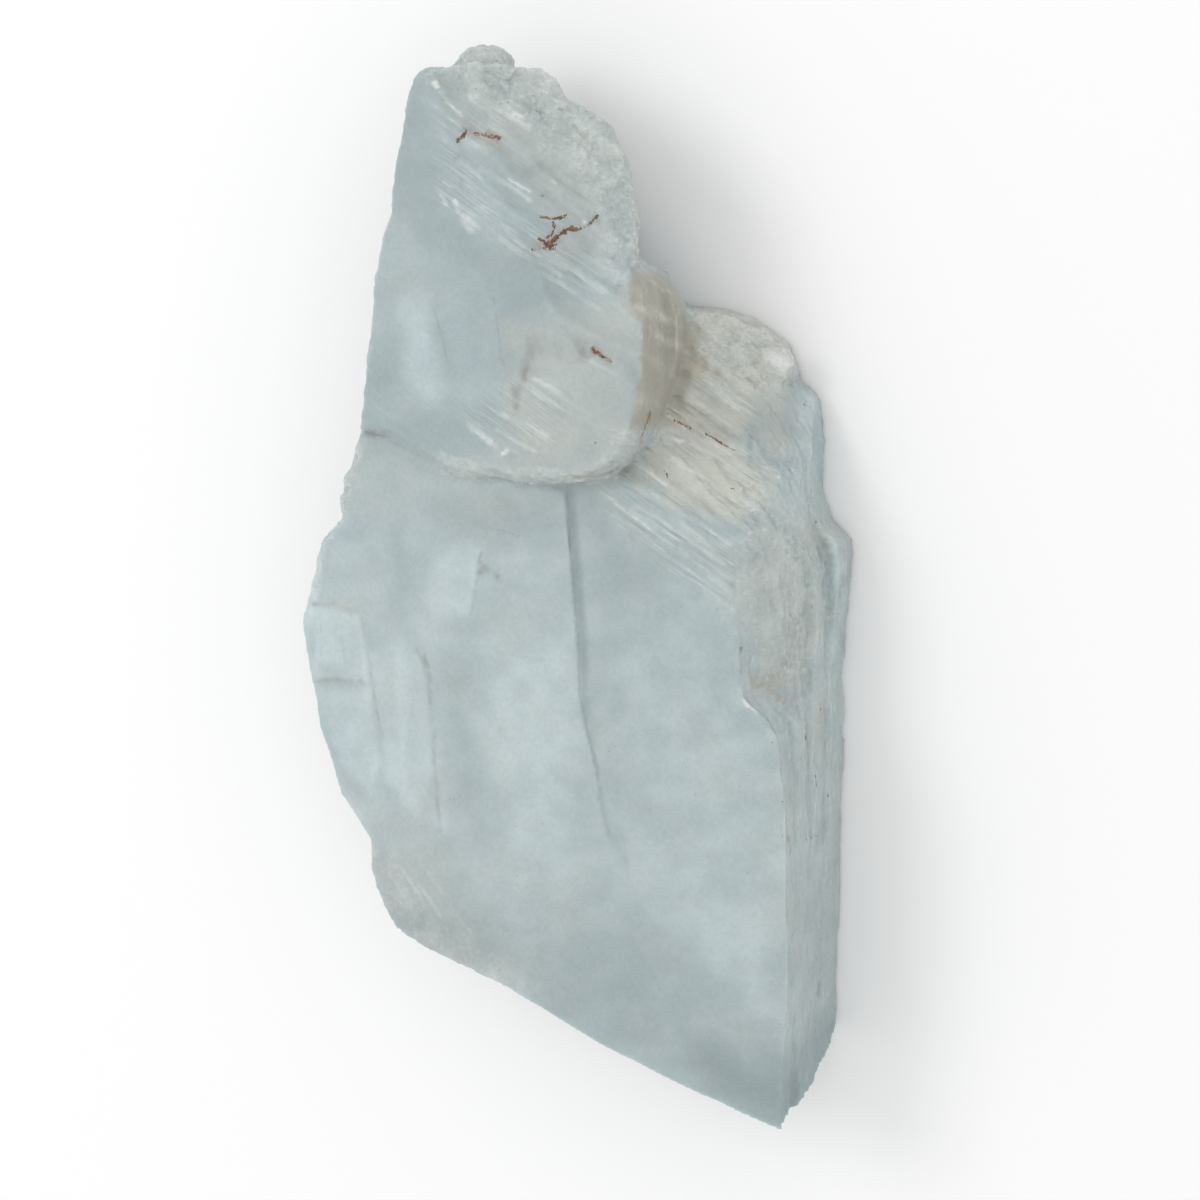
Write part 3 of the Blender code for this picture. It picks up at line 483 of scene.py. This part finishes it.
def break_surface(places, normals):
    """Moves the points as the slab is broken: sheets that stand out in its sides, chips, and ridges."""
    front = smooth_step(0.3, 0.6, normals[:, 2])
    back = smooth_step(0.9, 0.97, -normals[:, 2])
    along = places[:, 0] * ALONG[0] + places[:, 1] * ALONG[1]
    across = places[:, 0] * ACROSS[0] + places[:, 1] * ACROSS[1]
    turned = np.stack([along, across, places[:, 2]], 1)

    warped = places + (0, 0, 0.5) * rough_noise(places, 16.0, 1)[:, None]
    blocks = facets(warped, (3.4, 3.4, 0.95), 3)
    splinters = facets(warped, (1.7, 1.7, 0.5), 8)
    chips = facets(places, (2.3, 2.3, 1.5), 20)
    grains = facets(places, 1.05, 30)
    ridges = rough_noise(turned, (11.0, 1.3, 6.0), 40) + 0.7 * soft_noise(turned, (6.0, 0.8, 5.0), 45)
    flakes = smooth_step(0.1, 0.18, rough_noise(places, 22.0, 55))

    uneven = steepness(normals) * (1 - EVEN * even_sides(places, normals))
    move = uneven * (BLOCKS * blocks + SPLINTERS * splinters)
    move += areas(places, CRUMBLY, 200) * (CHIPS * chips + GRAINS * grains)
    move += areas(places, SILKY, 100) * front * RIDGES * ridges
    move += WAVES * front * rough_noise(places, 14.0, 50, 2)
    return places + normals * (move * (1 - back) - BACK_FLAKES * back * flakes - SUNK)[:, None]


def mark_back(obj):
    """Makes a group of the points of the flat back, and counts them."""
    places, normals = vertex_arrays(obj.data)
    group = obj.vertex_groups.new(name="back")
    flat = (normals[:, 2] < -0.98) & (places[:, 2] < 1.0)
    group.add(np.nonzero(flat)[0].tolist(), 1.0, "REPLACE")
    return int(flat.sum())


def triangles(mesh):
    """How many triangles a mesh has, once its faces are cut into triangles."""
    return sum(len(p.vertices) - 2 for p in mesh.polygons)


def thin_out(obj):
    """Takes triangles out of the flat back, which needs few, and then out of all the surface."""
    spare = BACK_SPARE * mark_back(obj)
    with_modifier(obj, "DECIMATE", ratio=1 - spare / triangles(obj.data), vertex_group="back")
    obj.vertex_groups.clear()
    share = min(1.0, MOST_TRIANGLES / triangles(obj.data))
    with_modifier(obj, "DECIMATE", ratio=share, use_collapse_triangulate=True)


def relax(mesh):
    """Evens out small places that are softer in the photo than in the CAD model."""
    shape = bmesh.new()
    shape.from_mesh(mesh)
    for middle, reach in SOFTENED:
        near = []
        for v in shape.verts:
            if v.co.z > LOWEST_DETAIL * MM and (v.co.xy / MM - Vector(middle)).length < reach:
                near.append(v)
        for _ in range(SOFTENING_ROUNDS):
            bmesh.ops.smooth_vert(shape, verts=near, factor=0.5, use_axis_x=True, use_axis_y=True,
                                  use_axis_z=True)
    shape.to_mesh(mesh)
    shape.free()


def split(places, faces, wanted):
    """Cuts triangles at the middles of the wanted edges. Each new edge ends in a new point."""
    pairs = np.stack([faces, np.roll(faces, -1, 1)], 2).reshape(-1, 2)
    edges, which = np.unique(np.sort(pairs, 1), axis=0, return_inverse=True)
    cut = wanted(places, edges)
    middles = np.where(cut, len(places) + np.cumsum(cut) - 1, -1)[which.reshape(-1, 3)]
    count = (middles >= 0).sum(1)
    start = np.where(count == 2, np.argmin(middles, 1) + 1, np.argmax(middles >= 0, 1))
    turn = (start[:, None] + np.arange(3)) % 3
    a, b, c = np.take_along_axis(faces, turn, 1).T
    ab, bc, ca = np.take_along_axis(middles, turn, 1).T
    cases = [
        [(a, b, c)],
        [(a, ab, c), (ab, b, c)],
        [(a, ab, c), (ab, bc, c), (ab, b, bc)],
        [(a, ab, ca), (ab, b, bc), (ca, bc, c), (ab, bc, ca)],
    ]
    pieces = []
    for cuts, triangle_corners in enumerate(cases):
        pieces += [np.stack(corners, 1)[count == cuts] for corners in triangle_corners]
    return np.concatenate([places, places[edges[cut]].mean(1)]), np.concatenate(pieces)


def lengths(places, edges):
    """The length of each edge."""
    return np.linalg.norm(places[edges[:, 0]] - places[edges[:, 1]], axis=1)


def long_edges(places, edges):
    """Which edges are too long for the soft colours."""
    return (lengths(places, edges) > LONGEST_EDGE) & (places[edges, 2].min(1) > LOWEST_DETAIL)


def long_marked_edges(places, edges):
    """Which edges are too long for the thin marks near them."""
    near = np.zeros(len(places), bool)
    for reach, path in thin_marks():
        near |= line_distance(places, path) < reach
    near &= places[:, 2] > LOWEST_DETAIL
    return (lengths(places, edges) > LONGEST_MARKED_EDGE) & near[edges].any(1)


def refine(obj):
    """Splits the edges that are too long for the colours, which are stored on the points."""
    faces = np.empty(len(obj.data.loops), np.int32)
    obj.data.loops.foreach_get("vertex_index", faces)
    places, faces = vertex_arrays(obj.data)[0], faces.reshape(-1, 3)
    for wanted in [long_edges] * 4 + [long_marked_edges] * 2:
        places, faces = split(places, faces, wanted)
    mesh = bpy.data.meshes.new("selenite_surface")
    mesh.from_pydata((places * MM).tolist(), [], faces.tolist())
    obj.data = mesh


def mark_lines(places, front, table, seed):
    """From 0 to 1 near lines and spots, with uneven edges. Flat paths show only on the front.

    Each row of the table is a half width, a strength and a path.
    """
    value = np.zeros(len(places))
    for half, strength, path in table:
        uneven = 0.5 * half * soft_noise(places, max(0.5, half), seed)
        uneven += 0.3 * half * soft_noise(places, max(0.25, 0.5 * half), seed + 1)
        near = strength * smooth_step(half * 1.5, half * 0.4, line_distance(places, path) + uneven)
        value = np.maximum(value, near if len(path[0]) == 3 else near * front)
    return value * (places[:, 2] > LOWEST_DETAIL)


def thin_marks():
    """Every thin line, small spot and sharp outline, as a reach and a path."""
    marks = [(half, path) for half, _, _, path in STAINS]
    marks += [(half, [middle]) for half, _, middle in SPECKS]
    marks += [(half, path) for half, _, path in PAINTED_GLINTS_AND_WHITE_MARKS + SMUDGES]
    marks = [(half + 0.3, path) for half, path in marks if half < 0.4]
    return marks + [(0.5, corners + corners[:1]) for soft, _, corners in MILKY if soft < 1.1]


def cut_stains(places, normals):
    """The thin cracks that dirt has settled in."""
    depth = np.zeros(len(places))
    for half, deep, _, path in STAINS:
        uneven = 0.5 * half * soft_noise(places, 0.5, 61)
        cut = smooth_step(half * 1.2, 0.0, line_distance(places, path) + uneven)
        depth = np.maximum(depth, deep * cut)
    return places - normals * depth[:, None]


def crack_shadow(places):
    """The darker band to the right of the long crack, strongest in its upper half."""
    fade = smooth_step(-40.0, -20.0, places[:, 1])
    edge = smooth_step(0.36, 0.05, line_distance(places, CRACK)) * (0.25 + 0.35 * fade)
    moved = places - (0.7, 0, 0)
    band = smooth_step(0.9, 0.1, line_distance(moved, CRACK)) * smooth_step(-28.0, -4.0, places[:, 1])
    return np.maximum(edge, 0.5 * band) * smooth_step(13.6, 12.6, places[:, 1])


def tan_wall(places, normals):
    """How much of the tan wall, on the right of the blade, each point shows."""
    x, y, z = places.T
    rightward = smooth_step(0.25, 0.5, normals[:, 0] - 0.3 * normals[:, 2])
    tan = np.maximum(rightward, smooth_step(25.4, 24.2, z)) * smooth_step(7.0, 9.5, z)
    return tan * smooth_step(18.8, 17.4, x) * smooth_step(13.2, 14.2, x) * smooth_step(21.0, 23.5, y)


def colour(name):
    """A colour of the list, as linear values."""
    return ((np.array(COLOURS[name]) / 255 + 0.055) / 1.055) ** 2.4


def spun(places, angle, axes=(0, 1)):
    """The places after a turn in one plane."""
    a, b = axes
    turned = places.copy()
    turned[:, a] = places[:, a] * math.cos(angle) - places[:, b] * math.sin(angle)
    turned[:, b] = places[:, a] * math.sin(angle) + places[:, b] * math.cos(angle)
    return turned


def patterns(places):
    """The soft patterns of the selenite, from 0 to 1, apart from mottle, which is from -1 to 1."""
    level = spun(places, math.radians(-10))
    down = spun(places, CLEAVAGE_ANGLE)
    leaning = spun(places, 0.34, (1, 2))
    return {
        "clouds": smooth_step(-0.4, 0.4, rough_noise(places, 20.0, 600)),
        "wisps": smooth_step(-0.5, 0.5, rough_noise(level, (20.0, 4.5, 9.0), 610)),
        "veins": smooth_step(-0.3, 0.4, rough_noise(level, (9.0, 2.2, 9.0), 615)),
        "mottle": rough_noise(places, 2.8, 620),
        "patches": smooth_step(0.0, 0.5, rough_noise(places, 5.0, 690)),
        "flakes": smooth_step(-0.1, 0.35, rough_noise(places, 2.4, 630, 2)),
        # Bands of painted sheen across the silky fibres.
        "bands": smooth_step(-0.3, 0.3, soft_noise(down, (16.0, 2.6, 5.0), 640)),
        "panes": smooth_step(-0.1, 0.5, rough_noise(places, (1.5, 14.0, 4.0), 650, 2)),
        "strands": smooth_step(0.0, 0.5, rough_noise(leaning, (30.0, 0.9, 14.0), 660, 2)),
        "broken": 0.2 + 0.8 * smooth_step(-0.3, 0.4, rough_noise(places, 1.4, 670, 2)),
        "threads": 0.3 + 0.7 * smooth_step(-0.3, 0.3, rough_noise(down, (3.6, 0.6, 2.0), 680, 2)),
    }


def body_colours(places, front, tan, crumbly, soft):
    """The linear colour of each point: a pale body with one layer of colour after another over it."""
    mottle = soft["mottle"]
    pale = 0.28 * soft["clouds"] + 0.27 * soft["wisps"] + 0.15 * soft["veins"]
    pale += 0.3 * smooth_step(-0.5, 0.5, mottle)
    darkest = colour("body, darkest")
    body = darkest + pale[:, None] * (colour("body, palest") - darkest)
    layers = [
        ("warm patches", 0.2 * soft["patches"]),
        ("deep", 0.6 * areas(places, DEEP, 500) * (1.15 - 0.3 * soft["wisps"])),
        ("milky", 0.6 * areas(places, MILKY, 300) * front * (1 + 0.5 * mottle)),
        ("creamy", 0.43 * areas(places, CREAMY, 400) * (1 + 0.4 * mottle)),
        ("panes", 0.4 * areas(places, PANES, 300) * front * soft["panes"]),
        ("flakes", 0.35 * crumbly * soft["flakes"]),
        ("tan wall", 0.85 * tan),
        ("strands in the tan wall", 0.8 * tan * soft["strands"]),
        ("shadow of the crack", 0.75 * crack_shadow(places) * front),
        ("smudges", 0.7 * mark_lines(places, front, SMUDGES, 68) * soft["broken"]),
        ("rust", 0.7 * mark_lines(places, front, RUST, 66) * (1 + 0.4 * mottle)),
        # Painted glints: sparkles and highlights painted white, over the real white marks.
        ("painted glints and white marks", mark_lines(places, front, PAINTED_GLINTS_AND_WHITE_MARKS, 72) * soft["threads"]),
    ]
    for name, share in layers:
        body += np.clip(share, 0, 1)[:, None] * (colour(name) - body)
    return body


def paint(mesh):
    """Stores each point's colour, and how much it shows of each kind of broken surface, of dirt and of
    painted sheen on the fibres.
    """
    places, normals = vertex_arrays(mesh)
    soft = patterns(places)
    front = smooth_step(0.2, 0.5, normals[:, 2])
    tan = tan_wall(places, normals)
    crumbly = areas(places, CRUMBLY, 200) * (places[:, 2] > LOWEST_DETAIL) * (1 - 0.8 * tan)
    silky = areas(places, SILKY, 100) * front
    body = body_colours(places, front, tan, crumbly, soft)
    colours = mesh.attributes.new("body", "FLOAT_VECTOR", "POINT")
    colours.data.foreach_set("vector", body.ravel().astype(np.float32))

    stains = [(half, strength, path) for half, _, strength, path in STAINS]
    specks = [(half, strength, [middle]) for half, strength, middle in SPECKS]
    marks = {
        "silky": silky,
        # Painted sheen: bands of painted highlight over the silky fibres.
        "painted_fibre_sheen": silky * soft["bands"],
        "crumbly": crumbly,
        "layered": steepness(normals) * (1 - tan),
        "stain": mark_lines(places, front, stains + specks, 62),
    }
    for name, values in marks.items():
        layer = mesh.attributes.new(name, "FLOAT", "POINT")
        layer.data.foreach_set("value", values.astype(np.float32))


def make_slab():
    """The slab's visible surface, from the CAD solid."""
    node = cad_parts["selenite_slab"]
    slab = bpy.data.objects.new("selenite_surface", node.data.copy())
    bpy.context.scene.collection.objects.link(slab)
    with_modifier(slab, "REMESH", mode="VOXEL", voxel_size=VOXEL * MM)
    set_places(slab.data, break_surface(*vertex_arrays(slab.data)))
    thin_out(slab)
    relax(slab.data)
    refine(slab)
    set_places(slab.data, cut_stains(*vertex_arrays(slab.data)))
    paint(slab.data)
    slab.data.shade_smooth()
    slab.data.set_sharp_from_angle(angle=math.radians(SHARP_ANGLE))
    slab.data.materials.append(selenite_material())
    return slab


class Nodes:
    """A short way to add and join a material's nodes."""

    def __init__(self, material):
        material.use_nodes = True
        self.tree = material.node_tree
        self.shader = self.tree.nodes["Principled BSDF"]

    def add(self, kind, settings=None, **inputs):
        """A new node. An underscore in the name of an input stands for a space."""
        node = self.tree.nodes.new(kind)
        for name, value in (settings or {}).items():
            setattr(node, name, value)
        for name, value in inputs.items():
            self.put(node.inputs[name.replace("_", " ")], value)
        return node

    def put(self, socket, value):
        """Gives a socket a link, a colour or a plain value."""
        if isinstance(value, bpy.types.NodeSocket):
            self.tree.links.new(value, socket)
        elif isinstance(value, np.ndarray):
            socket.default_value = (*value, 1.0)
        else:
            socket.default_value = value

    def stored(self, name, output="Fac"):
        """What paint stored on the points under a name."""
        return self.add("ShaderNodeAttribute", {"attribute_name": name}).outputs[output]

    def math(self, operation, *values):
        node = self.add("ShaderNodeMath", {"operation": operation})
        for socket, value in zip(node.inputs, values):
            self.put(socket, value)
        return node.outputs[0]

    def vector_math(self, operation, vector, name, value):
        node = self.add("ShaderNodeVectorMath", {"operation": operation})
        self.put(node.inputs[0], vector)
        self.put(node.inputs[name], value)
        return node.outputs[0]

    def mix(self, share, first, second):
        """One colour where share is 0, and the other where it is 1."""
        node = self.add("ShaderNodeMix", {"data_type": "RGBA"})
        self.put(node.inputs[0], share)
        self.put(node.inputs[6], first)
        self.put(node.inputs[7], second)
        return node.outputs[2]

    def about(self, value, gain):
        """A value from 0 to 1 as a shift about 0."""
        return self.math("MULTIPLY_ADD", value, gain, -gain / 2)

    def ramp(self, value, low, high):
        """From 0 at low to 1 at high, where low may be the larger one."""
        eased_range = {"interpolation_type": "SMOOTHSTEP"}
        node = self.add("ShaderNodeMapRange", eased_range, Value=value, From_Min=low, From_Max=high)
        return node.outputs["Result"]

    def noise(self, place, sizes, detail=1.0, rough=0.5):
        """Noise from 0 to 1 with a size for each axis, in mm."""
        scaled = self.vector_math("MULTIPLY", place, 1, [1 / (size * MM) for size in sizes])
        node = self.add("ShaderNodeTexNoise", Vector=scaled, Scale=1.0, Detail=detail, Roughness=rough)
        return node.outputs["Fac"]


def selenite_noises(n):
    """The fine noises of the selenite, by name."""
    place = n.add("ShaderNodeTexCoord").outputs["Object"]
    down = n.add("ShaderNodeMapping", Vector=place, Rotation=(0, 0, CLEAVAGE_ANGLE)).outputs["Vector"]
    return {
        "grain": n.noise(place, (0.7, 0.7, 0.7)),
        "dots": n.noise(place, (0.23, 0.23, 0.23)),
        "fibres": n.noise(down, (9.0, 0.7, 2.0)),
        "fine fibres": n.noise(down, (5.0, 0.3, 1.2)),
        "edges": n.noise(place, (9.0, 9.0, 0.45), 2.0, 0.65),
    }


def selenite_colour(n, fine, shown):
    """The stored colour, with crumbs, edges of sheets, fibres lightened partly by painted sheen, a fine
    mottle and stains over it.
    """
    body = n.stored("body", "Vector")
    details = [
        ("crumbs", "crumbly", n.ramp(fine["grain"], 0.5, 1.15)),
        ("dirt between crumbs", "crumbly", n.ramp(fine["dots"], 0.42, 0.0)),
        ("edges of sheets", "layered", n.ramp(fine["edges"], 0.5, 0.95)),
        # White fibres where the painted sheen is, partly real whiteness and partly painted highlight.
        ("fibres", "painted_fibre_sheen", n.ramp(fine["fibres"], 0.43, 1.0)),
        ("fine fibres", "painted_fibre_sheen", n.ramp(fine["fine fibres"], 0.53, 0.9)),
        ("gaps between fibres", "silky", n.ramp(fine["fine fibres"], 0.44, 0.0)),
    ]
    for name, where, share in details:
        body = n.mix(n.math("MULTIPLY", shown[where], share), body, colour(name))
    mottle = n.math("ADD", n.about(fine["dots"], 0.16), 1.0)
    body = n.vector_math("SCALE", body, "Scale", n.math("ADD", n.about(fine["grain"], 0.18), mottle))
    stain = n.ramp(n.math("ADD", shown["stain"], n.about(fine["dots"], 1.8)), 0.4, 0.62)
    brown = n.mix(n.ramp(fine["grain"], 0.4, 0.6), colour("stain, dark"), colour("stain, light"))
    return n.mix(stain, body, n.mix(shown["layered"], brown, colour("stain in a side")))


def selenite_height(n, fine, shown):
    """The finest relief: fibres, edges of sheets and crumbs."""
    height = n.math("MULTIPLY", n.math("ADD", fine["fibres"], fine["fine fibres"]), shown["silky"])
    height = n.math("MULTIPLY_ADD", fine["edges"], shown["layered"], height)
    return n.math("MULTIPLY_ADD", fine["grain"], n.math("MULTIPLY", shown["crumbly"], 2.0), height)


def selenite_material():
    """Milky, partly see-through selenite, less glossy where it is crumbly or broken across its sheets."""
    material = bpy.data.materials.new("selenite_looks")
    n = Nodes(material)
    fine = selenite_noises(n)
    shown = {name: n.stored(name) for name in ("silky", "painted_fibre_sheen", "crumbly", "layered", "stain")}
    for name, value in SHADER.items():
        n.shader.inputs[name].default_value = value
    dull = n.math("MAXIMUM", shown["crumbly"], shown["layered"])
    n.put(n.shader.inputs["Base Color"], selenite_colour(n, fine, shown))
    n.put(n.shader.inputs["Roughness"], n.math("MULTIPLY_ADD", dull, 0.25, 0.3))
    height = selenite_height(n, fine, shown)
    bump = n.add("ShaderNodeBump", Strength=0.7, Distance=0.28 * MM, Height=height)
    n.put(n.shader.inputs["Normal"], bump.outputs["Normal"])

    absorb = n.add("ShaderNodeVolumeAbsorption", Color=(0.55, 0.78, 0.82, 1.0), Density=26.0)
    output = n.tree.nodes["Material Output"]
    n.tree.links.new(absorb.outputs[0], output.inputs["Volume"])
    return material


def make_floor():
    """A plain pale floor just under the slab."""
    mesh = bpy.data.meshes.new("floor")
    side = 1.5
    corners = [(-side, -side, 0), (side, -side, 0), (side, side, 0), (-side, side, 0)]
    mesh.from_pydata(corners, [], [(0, 1, 2, 3)])
    floor = bpy.data.objects.new("floor", mesh)
    floor.location.z = -0.3 * MM
    bpy.context.scene.collection.objects.link(floor)
    material = bpy.data.materials.new("pale_floor")
    material.use_nodes = True
    shader = material.node_tree.nodes["Principled BSDF"]
    shader.inputs["Base Color"].default_value = (0.93, 0.93, 0.93, 1.0)
    shader.inputs["Roughness"].default_value = 0.9
    shader.inputs["Specular IOR Level"].default_value = 0.1
    mesh.materials.append(material)


def make_light(name, place, size, power):
    """A round soft light that shines at the slab, with its place and size in metres."""
    light = bpy.data.lights.new(name, "AREA")
    light.shape = "DISK"
    light.size = size
    light.energy = power
    lamp = bpy.data.objects.new(name, light)
    lamp.location = place
    lamp.rotation_euler = Vector(place).to_track_quat("Z", "Y").to_euler()
    bpy.context.scene.collection.objects.link(lamp)


def make_lights():
    """White light from all round, and one soft light from the upper left."""
    world = bpy.data.worlds.new("studio")
    world.use_nodes = True
    background = world.node_tree.nodes["Background"]
    background.inputs["Color"].default_value = (1.0, 1.0, 1.0, 1.0)
    background.inputs["Strength"].default_value = 0.92
    bpy.context.scene.world = world
    make_light("key", place=(-0.55, 0.35, 0.8), size=0.5, power=2.2)


def make_camera():
    """Looks down on the slab from its right and a little from its upper end. Lengths are in metres."""
    turn, rise, distance = math.radians(20), math.radians(8), 0.60
    target = Vector((0.00158, -0.00155, 0.012))
    away = Vector((math.sin(turn) * math.cos(rise), math.sin(rise), math.cos(turn) * math.cos(rise)))
    right = (-away).cross(Vector((0, 1, 0))).normalized()
    up = right.cross(-away)
    view = Matrix((right, up, away)).transposed().to_4x4()
    view.translation = target + away * distance
    lens = bpy.data.cameras.new("camera")
    lens.sensor_width = 36
    lens.lens = 130.43
    photo_side = 1200
    lens.shift_x = 23 / photo_side
    lens.shift_y = -11.5 / photo_side
    lens.clip_start = 0.01
    camera = bpy.data.objects.new("camera", lens)
    camera.matrix_world = view
    bpy.context.scene.collection.objects.link(camera)
    bpy.context.scene.camera = camera


make_floor()
make_lights()
make_camera()
surface = make_slab()
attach(surface, "root")
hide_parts("selenite_slab")
bpy.context.scene.view_settings.view_transform = "Standard"
